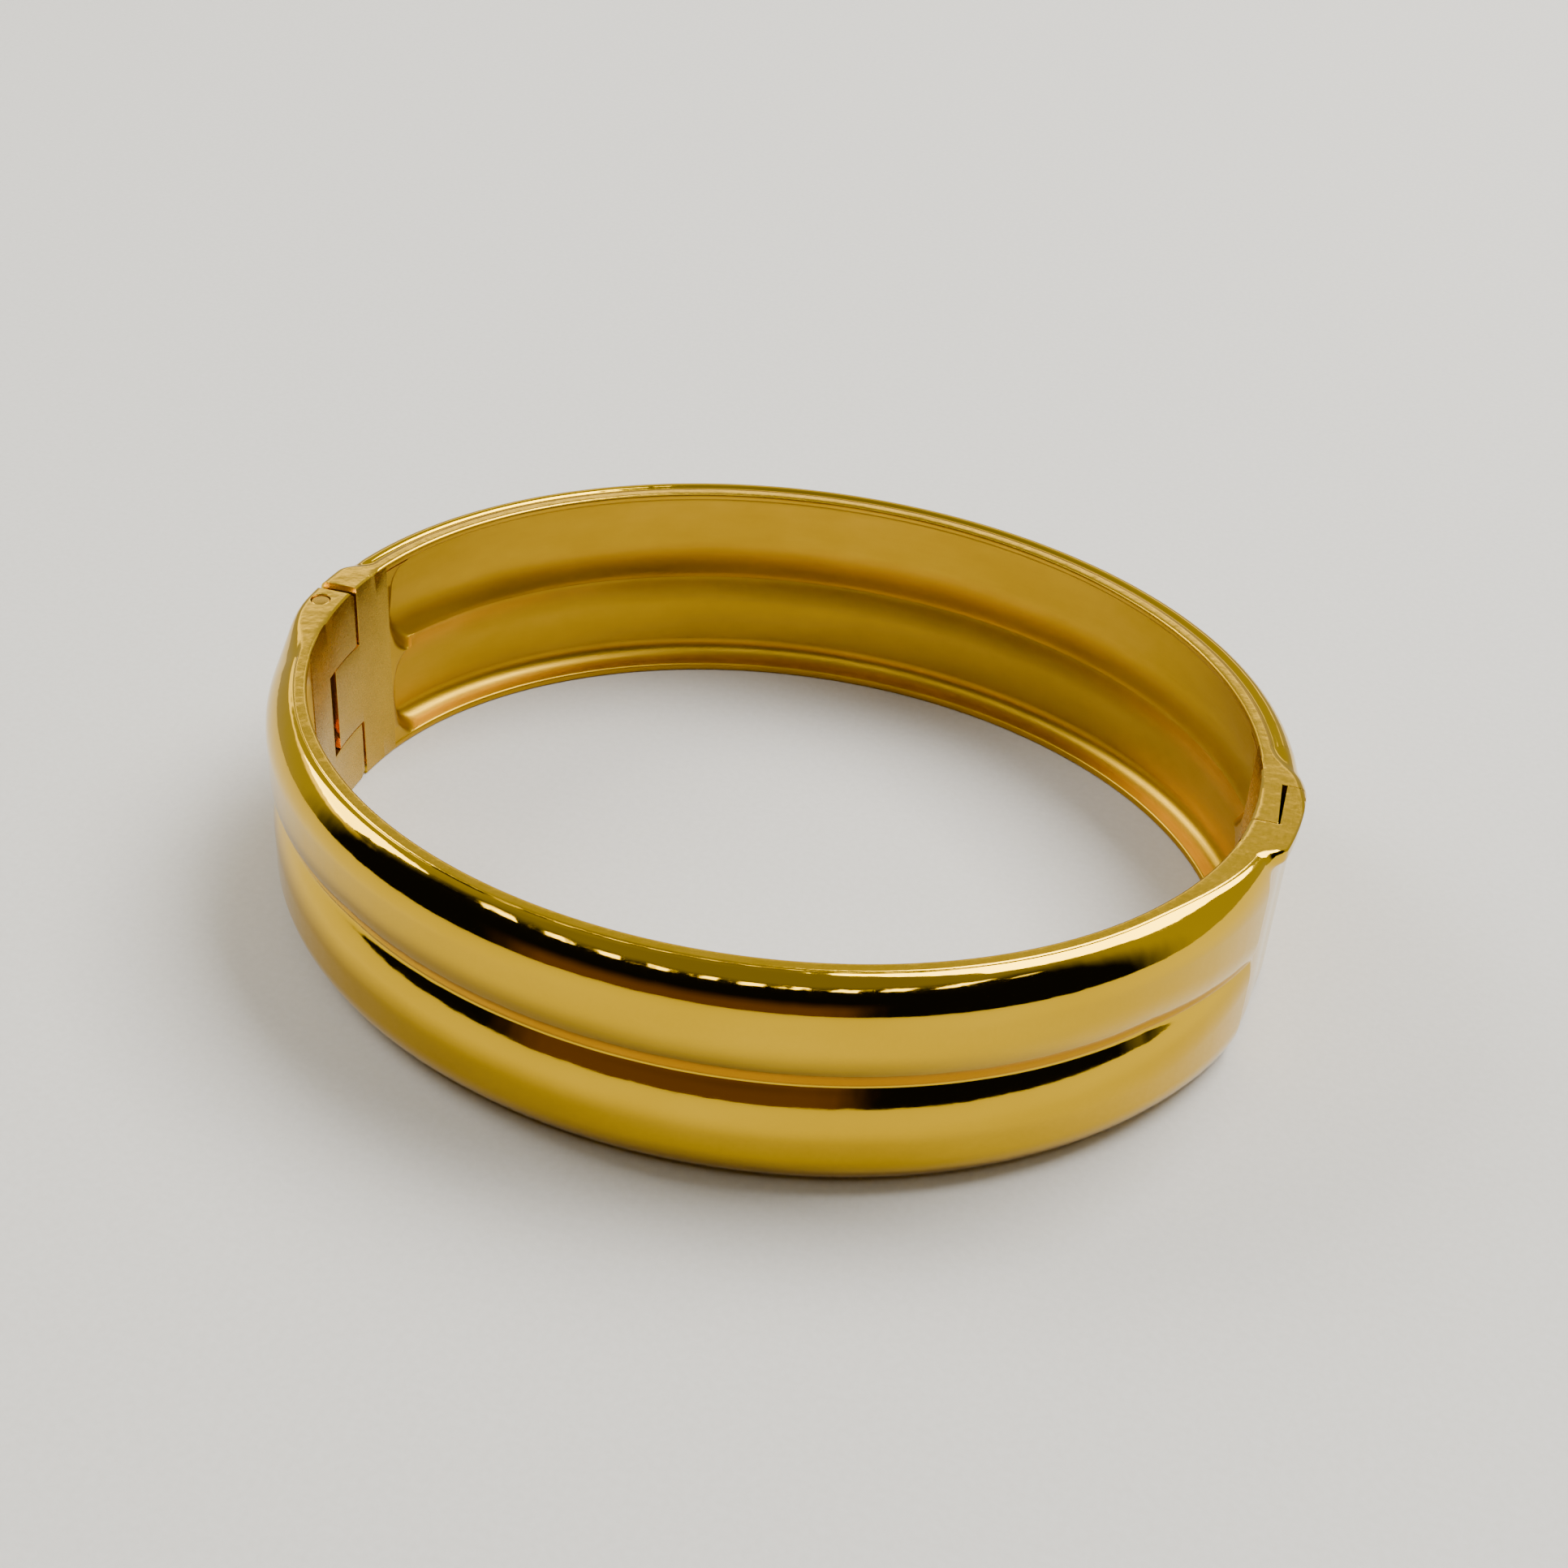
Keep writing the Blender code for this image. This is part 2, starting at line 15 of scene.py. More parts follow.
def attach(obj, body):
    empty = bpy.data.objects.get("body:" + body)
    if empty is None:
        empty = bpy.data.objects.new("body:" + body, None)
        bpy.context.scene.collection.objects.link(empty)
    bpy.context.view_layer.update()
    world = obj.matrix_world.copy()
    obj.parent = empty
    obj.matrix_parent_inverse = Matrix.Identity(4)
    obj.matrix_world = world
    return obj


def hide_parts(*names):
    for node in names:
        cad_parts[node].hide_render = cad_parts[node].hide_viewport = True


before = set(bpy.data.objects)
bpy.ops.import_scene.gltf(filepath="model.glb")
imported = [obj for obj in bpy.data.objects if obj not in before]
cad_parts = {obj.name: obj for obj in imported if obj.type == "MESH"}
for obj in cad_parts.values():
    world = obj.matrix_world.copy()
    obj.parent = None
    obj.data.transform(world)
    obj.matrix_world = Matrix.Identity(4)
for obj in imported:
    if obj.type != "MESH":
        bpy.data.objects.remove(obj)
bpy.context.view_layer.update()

MM = 0.001

# The oval and the wall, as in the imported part
HALF_LENGTH = 29.5
HALF_WIDTH = 24.9
HEIGHT = 14.8
MIDDLE = HEIGHT / 2
FLANGE_WIDTH = 0.85
FLANGE_THICKNESS = 0.56
FLANGE_OUTER_ROUND = 0.2
FLANGE_ROLL_START = 38.0  # degrees of the outer round, where the crease meets it
FLANGE_INNER_ROUND = 0.2
FLANGE_UNDER_ROUND = 0.2
CREASE_DEPTH = 0.12
CREASE_GAP = 0.15
SHOULDER_GAP = 0.27
RIB_CREST = 2.7
FRONT_SHOULDER = (2.88, 61.8)  # rise, and how far it turns in degrees
BACK_SHOULDER = (2.7, 106.0)
FRONT_BULGE = 2.63
BACK_BULGE = 2.7
FLANK_RADIUS = 6.7
GROOVE_OFFSET = 1.62
GROOVE_ROUND = 0.14
CHANNEL_OFFSET = 1.8
CHANNEL_CORNER = 1.2
RIDGE_OFFSET = 1.14
RIDGE_RADIUS = 6.2
RIDGE_ROUND = 0.4
FLANK_CROWDING = 1.6  # power that sets the points closer near the middle
CHANNEL_RUN_OUT = 1.5
CHANNEL_END = 1.9  # how much further its rounded end reaches at mid-channel
CHANNEL_LEAST = 0.03

# The front band's outside flattens into its end blocks
CLASP_FADE = (13.8, 5.8)  # distances from the long axis where it starts and ends
CLASP_FLANGE = 1.6
CLASP_GROOVE = 2.42
HINGE_FADE = (19.5, 10.0)
HINGE_GROOVE = 2.3

# End blocks
HINGE_FRONT_Y = -6.2
HINGE_BACK_Y = 5.6
CLASP_FRONT_Y = -6.0
CLASP_BACK_Y = 5.0
HINGE_BULGE = 2.45
CLASP_BULGE = 2.76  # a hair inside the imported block
BLOCK_EDGE = 0.12
BLOCK_BEVEL = 0.06
CLASP_UNDERSIDE = 0.8
HINGE_TOP = (1.1, 2.08)  # width of the flat top, at the band and at the pin
HINGE_SHOULDER = 0.5
HINGE_BACK_FADE = 2.0
CLASP_FADE_START = -1.5
CLASP_NARROWING = (1.32, 0.1)  # of the flat top, and of the side
CLASP_MELT = (2.0, 5.0)  # where the block takes on the back band's own form
CLASP_START_MELT = 1.5  # the same at its front end, as a length
CLASP_PLATE = 0.9  # thickness of the plate on top, which overhangs the side
CLASP_UNDERCUT = 0.6
CLASP_UNDERCUT_LEAST = 0.001  # not 0, so that the side is drawn the same way all along
CLASP_UNDERCUT_RUN = 0.7
CLASP_EDGE_GAP = 0.1  # at least this between the top's rounding and the plate's lower edge
CLASP_TIP = (-4.4, 1.8, 0.3)  # start and length of the front taper, and what it takes off
OVAL_X = -0.16
HINGE_X = OVAL_X - HALF_LENGTH
CLASP_X = OVAL_X + HALF_LENGTH

# Hinge
PIN_OFFSET = 1.37
PIN_X = HINGE_X - PIN_OFFSET
PIN_Y = 0.16
PIN_RADIUS = 0.6
PIN_END_RADIUS = 0.02
PIN_CROWN = (0.05, 0.06)  # depth of its end below the rim, at the centre and at the rounding
PIN_ROUND = 0.1
BORE_RADIUS = 0.645
EAR_END_Y = 1.95
EAR_CHAMFER = 0.5
SLOT_WALL_Y = -2.2
SLOT_HALF_HEIGHT = 3.1
KNUCKLE_CLEARANCE = 0.08
KNUCKLE_TIP_Y = -1.25
KNUCKLE_FLAT_END = -0.2  # outward of the pin axis
KNUCKLE_OUTER = -0.9
SHOULDER_Y = 2.25

# Clasp
LAP_FRONT_Y = -2.9
LAP_BACK_Y = 1.2
LAP_CLEARANCE = 0.06
JUST_IN_FRONT = -0.01  # of the long axis
INNER_LIP_OFFSETS = (1.35, 1.2)
OUTER_LIP_OFFSETS = (1.48, 1.53)
CATCH_Y = -0.8
CATCH_BASE_OFFSET = 1.0
CATCH_BUMP_Z = 10.0
DIMPLE_RADIUS = 0.78
DIMPLE_FLAT = 0.05  # share of the radius
POCKET_FLOOR = 0.55
POCKET_REACH = 1.9
POCKET_HALF_WIDTH = 1.3
POCKET_Z = (3.1, 11.4)
FAR = 12.0  # reach of a cutter past what it cuts
OVER = 1.0  # the same, above and below

# Fineness of the meshes
BAND_COLUMNS = 300
BAND_END_COLUMNS = 8  # in place of the first two, and of the last two
BLOCK_STEP = 0.16
BLOCK_SIDE_POINTS = 44
BLOCK_TOP_POINTS = 12
FLANK_STEPS = 24
RIDGE_STEPS = 20
SHOULDER_STEPS = 30
CREASE_STEPS = 5
ROLL_STEPS = 6
ROLL_ON_RIM = 5  # how many of them were lapped
UNDER_ROUND_STEPS = 3
INNER_ROUND_STEPS = 7
INNER_ROUND_SATIN = 4  # how many of them weren't lapped; they take the inside's soft finish and its painted shade
BLOCK_EDGE_STEPS = 4
KNUCKLE_STEPS = 16
PIN_ROUND_STEPS = 6
PIN_SIDES = 64
DIMPLE_STEPS = 12
CHANNEL_CORNER_STEPS = 16
BLOCK_SHOULDER_STEPS = 16
MERGE_DISTANCE = 0.002
NEAR_JOINT = 0.02
SHARP_ANGLE = 38.0
BEVEL_ANGLE = 45.0

OUTER, RIM, INNER = 0, 1, 2  # material places on a skin

# Studio, by direction: X across, Y away from the camera's side, Z up. A pair is where a change
# from one colour to the next starts, and where it ends.
CURTAIN_DARK = (0.006, 0.006, 0.006)
CURTAIN_BROWN = (0.2, 0.1, 0.045)
CEILING = (0.34, 0.335, 0.32)
BACK_WALL = (0.62, 0.61, 0.56)
BACK_PANEL = (2.8, 2.6, 2.1)
LAMP = (11.0, 10.4, 9.0)
BACK_HALF = (-0.18, 0.12)
CURTAIN_TOP = (0.80, 0.90)
BROWN_DEPTH = (-0.35, -0.6)
BROWN_RIGHT = (0.5, 0.3)
BROWN_LEFT = (-0.68, -0.48)
BROWN_TOP = (0.5, 0.15)
ABOVE_PANEL = (0.49, 0.53)
BELOW_PANEL = (0.43, 0.39)
RIGHT_OF_PANEL = (0.0, 0.2)
BACK_WALL_TOP = (0.7, 0.95)
LAMP_FOOT = (0.785, 0.795)
LAMP_TOP = (0.85, 0.84)
LAMP_DEPTH = (-0.12, -0.25)
LAMP_GAP = (1.5, 1.75)
LAMPS = 9.0  # to each unit of the direction's X
LAMP_GRAIN = 1.6  # scale, for each lamp, of the noise that makes the row uneven
LAMP_UNEVENNESS = 2.5  # strength of that noise

FLOOR_RADIUS = 600.0

# Camera, in degrees and millimetres
AZIMUTH, ELEVATION, ROLL = 13.507, 35.672, 3.929
AIM = (-2.235, 11.0, 0.0)
DISTANCE = 157.54
LENS = 52.08
SENSOR = 36.0


# ---------------------------------------------------------------- plan and section


def smooth(t):
    t = min(max(t, 0.0), 1.0)
    return t * t * (3 - 2 * t)


def mix(a, b, share):
    return a + (b - a) * share


def angle_at(y, side):
    """Angle round the oval at this distance from the long axis; side is +1 or -1 in X."""
    angle = math.asin(y / HALF_WIDTH)
    return angle if side > 0 else math.copysign(math.pi, y) - angle


def oval_point(angle, offset):
    """Plan position at an angle round the inner oval, offset along the outward normal."""
    normal_x = math.cos(angle) / HALF_LENGTH
    normal_y = math.sin(angle) / HALF_WIDTH
    length = math.hypot(normal_x, normal_y)
    x = OVAL_X + HALF_LENGTH * math.cos(angle) + offset * normal_x / length
    return x, HALF_WIDTH * math.sin(angle) + offset * normal_y / length


def oval_speed(angle):
    """Length of oval for each radian."""
    return math.hypot(HALF_LENGTH * math.sin(angle), HALF_WIDTH * math.cos(angle))


def fade(angle, places):
    """0 before the first distance from the long axis, and 1 past the second."""
    reach = abs(HALF_WIDTH * math.sin(angle))
    return min(max((places[0] - reach) / (places[0] - places[1]), 0.0), 1.0)


def arc(centre, radius, start, end, steps):
    """(offset, height) points on a circle, from one angle in degrees to another."""
    points = []
    for step in range(steps + 1):
        turn = math.radians(mix(start, end, step / steps))
        points.append((centre[0] + radius * math.cos(turn), centre[1] + radius * math.sin(turn)))
    return points


def flank(bulge, deepest, radius, rounding, steps):
    """From the deepest place at the middle, which is rounded, up to the widest place."""
    turn = math.acos(1 - (bulge - deepest) / radius)
    reach = radius * math.sin(turn)
    points = []
    for step in range(steps + 1):
        above = reach * (step / steps) ** FLANK_CROWDING
        from_widest = max(reach + rounding * (1 - step / steps) - math.hypot(above, rounding), 0.0)
        depth = radius - math.sqrt(radius ** 2 - min(from_widest, reach) ** 2)
        points.append((bulge - depth, MIDDLE + above))
    return points


def curve(points, steps):
    """A smooth line through a few points (Catmull-Rom), without the first and the last of them."""
    made = []
    for before, one, two, after in zip(points, points[1:], points[2:], points[3:]):
        for step in range(steps):
            t = step / steps
            weights = (-t + 2 * t * t - t ** 3, 2 - 5 * t * t + 3 * t ** 3)
            weights += (t + 4 * t * t - 3 * t ** 3, -t * t + t ** 3)
            near = (before, one, two, after)
            made.append(tuple(sum(w * p[axis] for w, p in zip(weights, near)) / 2 for axis in (0, 1)))
    return made + [points[-2]]


def wall_outside(angle):
    """The outer half of the band's section, from the groove to the flange's inner edge."""
    front = math.sin(angle) < 0
    rise, turn = FRONT_SHOULDER if front else BACK_SHOULDER
    bulge = FRONT_BULGE if front else BACK_BULGE
    flange, groove = FLANGE_WIDTH, GROOVE_OFFSET
    if front and math.cos(angle) > 0:
        share = fade(angle, CLASP_FADE)
        flange = mix(FLANGE_WIDTH, CLASP_FLANGE, smooth(share))
        groove = mix(GROOVE_OFFSET, CLASP_GROOVE, share)
    elif front:
        groove = mix(GROOVE_OFFSET, HINGE_GROOVE, fade(angle, HINGE_FADE))
    start = flange + SHOULDER_GAP
    width = (bulge - start) / (1 - math.cos(math.radians(turn)))
    points = flank(bulge, groove, FLANK_RADIUS, GROOVE_ROUND, FLANK_STEPS)
    shoulder = []
    for step in range(SHOULDER_STEPS + 1):
        here = math.radians(turn * step / SHOULDER_STEPS)
        height = HEIGHT - RIB_CREST + rise * math.sin(here)
        shoulder.append((bulge - width * (1 - math.cos(here)), min(height, HEIGHT)))
    points += shoulder
    centre = (flange - FLANGE_OUTER_ROUND, HEIGHT - FLANGE_OUTER_ROUND)
    rolled = arc(centre, FLANGE_OUTER_ROUND, FLANGE_ROLL_START, 90, ROLL_STEPS)
    valley = (flange + CREASE_GAP, HEIGHT - CREASE_DEPTH)
    crease = curve([shoulder[-2], shoulder[-1], valley, rolled[0], rolled[1]], CREASE_STEPS)
    points += crease[1:-1] + rolled
    places = [OUTER] * (len(points) - 1 - ROLL_ON_RIM)
    inner_edge = FLANGE_INNER_ROUND
    flat = flange - FLANGE_OUTER_ROUND
    points += [(mix(flat, inner_edge, share), HEIGHT) for share in (0.33, 0.67)]
    points += arc((inner_edge, HEIGHT - inner_edge), inner_edge, 90, 180, INNER_ROUND_STEPS)
    places += [RIM] * (len(points) - 1 - len(places) - INNER_ROUND_SATIN)
    return points, places + [INNER] * INNER_ROUND_SATIN


def mirrored(points, places):
    """Closes a section whose upper half runs from the outer middle to the inner middle."""
    lower = [(offset, HEIGHT - height) for offset, height in points[1:-1]]
    return points + lower[::-1], places + places[::-1]


def channel_share(height, run):
    """A channel's share of its depth, this far from the band's end. Its end is round."""
    height = max(height, HEIGHT - height)
    top = HEIGHT - FLANGE_THICKNESS
    across = min(abs(height - (MIDDLE + top) / 2) / ((top - MIDDLE) / 2), 1.0)
    start = CHANNEL_END * (1 - math.sqrt(1 - across ** 2))
    return mix(CHANNEL_LEAST, 1.0, smooth((run - start) / CHANNEL_RUN_OUT))


def wall_section(angle, run):
    """The band's closed section, this far along it from its nearer end."""
    points, places = wall_outside(angle)
    under = HEIGHT - FLANGE_THICKNESS
    edge = FLANGE_UNDER_ROUND
    points += arc((edge, under + edge), edge, 180, 270, UNDER_ROUND_STEPS)
    corner = (CHANNEL_OFFSET - CHANNEL_CORNER, under - CHANNEL_CORNER)
    inner = arc(corner, CHANNEL_CORNER, 90, 0, CHANNEL_CORNER_STEPS)
    inner += flank(CHANNEL_OFFSET, RIDGE_OFFSET, RIDGE_RADIUS, RIDGE_ROUND, RIDGE_STEPS)[::-1]
    points += [(offset * channel_share(height, run), height) for offset, height in inner]
    return mirrored(points, places + [INNER] * (len(points) - 1 - len(places)))


def shoulder_points(top_width, bulge, drop):
    """A quarter of an ellipse, from a block's upright side to its flat top."""
    points = []
    for step in range(BLOCK_SHOULDER_STEPS + 1):
        turn = math.pi / 2 * step / BLOCK_SHOULDER_STEPS
        offset = top_width + (bulge - top_width) * math.cos(turn)
        points.append((offset, HEIGHT - drop + drop * math.sin(turn)))
    return points


def between(one, two, share):
    """The point at this share of the way from one to two."""
    return tuple(mix(one[axis], two[axis], share) for axis in (0, 1))


def resampled(points, count):
    """Evenly spaced points along a line."""
    lengths = [0.0]
    for one, two in zip(points, points[1:]):
        lengths.append(lengths[-1] + math.dist(one, two))
    made = []
    here = 0
    for step in range(count):
        at = lengths[-1] * step / (count - 1)
        while here < len(points) - 2 and lengths[here + 1] < at:
            here += 1
        span = lengths[here + 1] - lengths[here]
        share = min(max((at - lengths[here]) / span, 0.0), 1.0) if span else 0.0
        made.append(between(points[here], points[here + 1], share))
    return made


def block_outside(top_width, bulge, drop, undercut=0.0):
    """From the outer middle to the inner edge, as two evenly spaced runs: side, then top."""
    side = [(bulge, MIDDLE)] + shoulder_points(top_width, bulge, drop)
    if undercut:
        edge = HEIGHT - max(drop + CLASP_EDGE_GAP, CLASP_PLATE)
        foot = (bulge - undercut, edge - CLASP_UNDERCUT_RUN)
        halfway = (bulge - undercut / 2, edge - CLASP_UNDERCUT_RUN / 3)
        side = [(bulge - undercut, MIDDLE), foot, halfway, (bulge, edge), *side[1:]]
    centre = (BLOCK_EDGE, HEIGHT - BLOCK_EDGE)
    top = [(top_width, HEIGHT)] + arc(centre, BLOCK_EDGE, 90, 180, BLOCK_EDGE_STEPS)
    return resampled(side, BLOCK_SIDE_POINTS) + resampled(top, BLOCK_TOP_POINTS)[1:]


def blended(outside, wall, share):
    """Moves a block's outside towards the wall's own."""
    points, places = wall
    split = places.index(RIM)
    target = resampled(points[: split + 1], BLOCK_SIDE_POINTS)
    target += resampled(points[split:], BLOCK_TOP_POINTS)[1:]
    return [between(one, two, share) for one, two in zip(outside, target)]


def block_section(upper, lower=None):
    """A solid end block's closed section, from its upper half's outside and its lower half's."""
    inside = [(0.0, mix(HEIGHT - BLOCK_EDGE, MIDDLE, share)) for share in (0.25, 0.5, 0.75, 1.0)]
    below = [(offset, HEIGHT - height) for offset, height in ((lower or upper) + inside)[1:-1]]
    places = [OUTER] * (BLOCK_SIDE_POINTS - 1) + [RIM] * (BLOCK_TOP_POINTS - 1)
    places += [INNER] * len(inside)
    return upper + inside + below[::-1], places + places[::-1]


def hinge_section(angle):
    """The hinge block widens from the flange's width to its own towards the pin."""
    y = HALF_WIDTH * math.sin(angle)
    if y < SHOULDER_Y:
        near = smooth((y - HINGE_FRONT_Y) / (PIN_Y - HINGE_FRONT_Y))
        bulge = mix(FRONT_BULGE, HINGE_BULGE, near)
    else:
        near = smooth((HINGE_BACK_Y - y) / HINGE_BACK_FADE)
        bulge = mix(BACK_BULGE, HINGE_BULGE, near)
    upper = block_outside(mix(*HINGE_TOP, near), bulge, mix(RIB_CREST, HINGE_SHOULDER, near))
    return block_section(blended(upper, wall_outside(angle), (1 - near) ** 2))


def clasp_section(angle):
    """The clasp block is widest in front, and takes on the bands' own sections at its two ends."""
    y = HALF_WIDTH * math.sin(angle)
    back = smooth((y - CLASP_FADE_START) / (CLASP_BACK_Y - CLASP_FADE_START))
    tip_start, tip_length, tip_taper = CLASP_TIP
    front = tip_taper * smooth((tip_start - y) / tip_length)
    top_narrowing, side_narrowing = CLASP_NARROWING
    bulge = CLASP_BULGE - side_narrowing * back - front
    top_width = CLASP_BULGE - BLOCK_EDGE - top_narrowing * back - front
    drop = mix(BLOCK_EDGE, RIB_CREST, back ** 2)
    undercut = CLASP_UNDERCUT * (1 - back) ** 2 + CLASP_UNDERCUT_LEAST
    side = bulge - undercut
    upper = block_outside(top_width, bulge, drop, undercut)
    lower = block_outside(min(top_width, side - CLASP_UNDERSIDE), side, max(drop, CLASP_UNDERSIDE))
    share = 1 - smooth((y - CLASP_FRONT_Y) / CLASP_START_MELT)
    wall = wall_outside(min(angle, angle_at(JUST_IN_FRONT, 1)))
    melt_start, melt_end = CLASP_MELT
    if y > melt_start:
        share = smooth((y - melt_start) / (melt_end - melt_start))
        wall = wall_outside(angle_at(CLASP_BACK_Y, 1))
    return block_section(blended(upper, wall, share), blended(lower, wall, share))


# ---------------------------------------------------------------- meshes


def finish_mesh(name, bm, materials):
    """An object from a bmesh in millimetres."""
    bmesh.ops.scale(bm, vec=(MM, MM, MM), verts=bm.verts)
    bmesh.ops.recalc_face_normals(bm, faces=bm.faces)
    mesh = bpy.data.meshes.new(name)
    bm.to_mesh(mesh)
    bm.free()
    for finish in materials:
        mesh.materials.append(finish)
    mesh.shade_smooth()
    mesh.set_sharp_from_angle(angle=math.radians(SHARP_ANGLE))
    made = bpy.data.objects.new(name, mesh)
    bpy.context.scene.collection.objects.link(made)
    return made


def loft(angles, section_at):
    """A solid along the oval, with a UV map in millimetres: along the oval and round the section."""
    bm = bmesh.new()
    uv = bm.loops.layers.uv.new("UVMap")
    rings, rounds, alongs = [], [], []
    along = 0.0
    previous = angles[0]
    for angle in angles:
        points, places = section_at(angle)
        rings.append([bm.verts.new((*oval_point(angle, offset), height)) for offset, height in points])
        lengths = [0.0]
        for one, two in zip(points, points[1:] + points[:1]):
            lengths.append(lengths[-1] + math.dist(one, two))
        rounds.append(lengths)
        along += abs(angle - previous) * oval_speed(angle)
        alongs.append(along)
        previous = angle
    count = len(rings[0])
    for column, (one, two) in enumerate(zip(rings, rings[1:])):
        for here in range(count):
            after = (here + 1) % count
            face = bm.faces.new((one[here], one[after], two[after], two[here]))
            face.material_index = places[here]
            corners = ((column, here), (column, here + 1), (column + 1, here + 1), (column + 1, here))
            for loop, (at, row) in zip(face.loops, corners):
                loop[uv].uv = (alongs[at], rounds[at][row])
    bm.faces.new(rings[0][::-1]).material_index = INNER
    bm.faces.new(rings[-1]).material_index = INNER
    return bm


def prism(outline, low, high, upright="Z"):
    """An outline in the other two coordinates, extruded from low to high along X or Z."""
    bm = bmesh.new()
    turn = (lambda a, b, c: (c, a, b)) if upright == "X" else (lambda a, b, c: (a, b, c))
    bottom = [bm.verts.new(turn(a, b, low)) for a, b in outline]
    top = [bm.verts.new(turn(a, b, high)) for a, b in outline]
    faces = [bm.faces.new(bottom[::-1]), bm.faces.new(top)]
    for here in range(len(outline)):
        after = (here + 1) % len(outline)
        faces.append(bm.faces.new((bottom[here], bottom[after], top[after], top[here])))
    for face in faces:
        face.material_index = RIM
    return bm


def block(low, high):
    outline = [(low[0], low[1]), (high[0], low[1]), (high[0], high[1]), (low[0], high[1])]
    return prism(outline, low[2], high[2])


def turned(profile, centre, axis, sides=48, place=RIM):
    """A solid of revolution about X or Z. profile is (distance along the axis, radius)."""
    bm = bmesh.new()
    rings = []
    for along, radius in profile:
        ring = []
        for side in range(sides):
            turn = 2 * math.pi * side / sides
            across = (radius * math.cos(turn), radius * math.sin(turn))
            shift = (along, *across) if axis == "X" else (*across, along)
            ring.append(bm.verts.new([here + there for here, there in zip(centre, shift)]))
        rings.append(ring)
    for one, two in zip(rings, rings[1:]):
        for side in range(sides):
            after = (side + 1) % sides
            bm.faces.new((one[side], one[after], two[after], two[side]))
    bm.faces.new(rings[0][::-1])
    bm.faces.new(rings[-1])
    for face in bm.faces:
        face.material_index = place
    return bm


def cut(target, bm):
    """Cuts at once, and removes the cutter."""
    helper = finish_mesh("helper", bm, target.data.materials)
    modifier = target.modifiers.new("cut", "BOOLEAN")
    modifier.object = helper
    modifier.operation = "DIFFERENCE"
    graph = bpy.context.evaluated_depsgraph_get()
    graph.update()
    mesh = bpy.data.meshes.new_from_object(target.evaluated_get(graph), depsgraph=graph)
    target.modifiers.clear()
    target.data = mesh
    bpy.data.objects.remove(helper)


def on_joint(point, angle):
    """Whether a point lies in the plane across the oval at an angle."""
    x, y = oval_point(angle, 0.0)
    far_x, far_y = oval_point(angle, 1.0)
    across = (point[0] / MM - x) * (far_y - y) - (point[1] / MM - y) * (far_x - x)
    return abs(across) < NEAR_JOINT


def round_edges(target, joint):
    """Rounds the edges that the cuts left sharp, but not those where a band is soldered on."""
    bm = bmesh.new()
    bm.from_mesh(target.data)
    bmesh.ops.remove_doubles(bm, verts=bm.verts, dist=MERGE_DISTANCE * MM)
    sharp = []
    for edge in bm.edges:
        if len(edge.link_faces) == 2 and edge.calc_face_angle(0.0) > math.radians(BEVEL_ANGLE):
            if not all(on_joint(vert.co, joint) for vert in edge.verts):
                sharp.append(edge)
    bmesh.ops.bevel(
        bm, geom=sharp, affect="EDGES", offset=BLOCK_BEVEL * MM, segments=3, profile=0.5, clamp_overlap=True
    )
    bm.to_mesh(target.data)
    bm.free()
    target.data.shade_smooth()
    target.data.set_sharp_from_angle(angle=math.radians(SHARP_ANGLE))


# ---------------------------------------------------------------- materials


WORN = (0.1, 0.5)  # range of the product of two noises


class Nodes:
    """A material, and short ways to add and join its nodes."""

    def __init__(self, name, metallic=1.0):
        self.material = bpy.data.materials.new(name)
        self.material.use_nodes = True
        self.tree = self.material.node_tree
        self.shader = self.tree.nodes["Principled BSDF"]
        self.shader.inputs["Metallic"].default_value = metallic
        self.place = self.tree.nodes.new("ShaderNodeTexCoord")

    def join(self, source, target):
        self.tree.links.new(source, target)

    def mapped(self, scale, output="Object"):
        """Coordinates in millimetres, scaled."""
        mapping = self.tree.nodes.new("ShaderNodeMapping")
        unit = 1.0 if output == "UV" else 1 / MM
        mapping.inputs["Scale"].default_value = [unit * value for value in scale]
        self.join(self.place.outputs[output], mapping.inputs["Vector"])
        return mapping.outputs["Vector"]

    def noise(self, vector, detail=2.0, roughness=0.5):
        made = self.tree.nodes.new("ShaderNodeTexNoise")
        made.inputs["Scale"].default_value = 1.0
        made.inputs["Detail"].default_value = detail
        made.inputs["Roughness"].default_value = roughness
        self.join(vector, made.inputs["Vector"])
        return made.outputs["Fac"]

    def ranged(self, value, low, high, start=0.3, end=0.7):
        """Maps a value from start..end to low..high."""
        made = self.tree.nodes.new("ShaderNodeMapRange")
        for name, number in (("From Min", start), ("From Max", end), ("To Min", low), ("To Max", high)):
            made.inputs[name].default_value = number
        self.join(value, made.inputs["Value"])
        return made.outputs["Result"]

    def colours(self, value, low, high):
        """Maps a value to a colour between two."""
        made = self.tree.nodes.new("ShaderNodeMix")
        made.data_type = "RGBA"
        self.join(value, made.inputs["Factor"])
        made.inputs["A"].default_value = (*low, 1.0)
        made.inputs["B"].default_value = (*high, 1.0)
        return made.outputs["Result"]

    def product(self, one, two):
        made = self.tree.nodes.new("ShaderNodeMath")
        made.operation = "MULTIPLY"
        self.join(one, made.inputs[0])
        self.join(two, made.inputs[1])
        return made.outputs["Value"]

    def bump(self, height, strength, depth, below=None):
        """A bump of this depth in millimetres, on top of another."""
        made = self.tree.nodes.new("ShaderNodeBump")
        made.inputs["Strength"].default_value = strength
        made.inputs["Distance"].default_value = depth * MM
        self.join(height, made.inputs["Height"])
        if below:
            self.join(below, made.inputs["Normal"])
        return made.outputs["Normal"]

    def set(self, colour, roughness, normal):
        self.join(colour, self.shader.inputs["Base Color"])
        self.join(roughness, self.shader.inputs["Roughness"])
        self.join(normal, self.shader.inputs["Normal"])
        return self.material


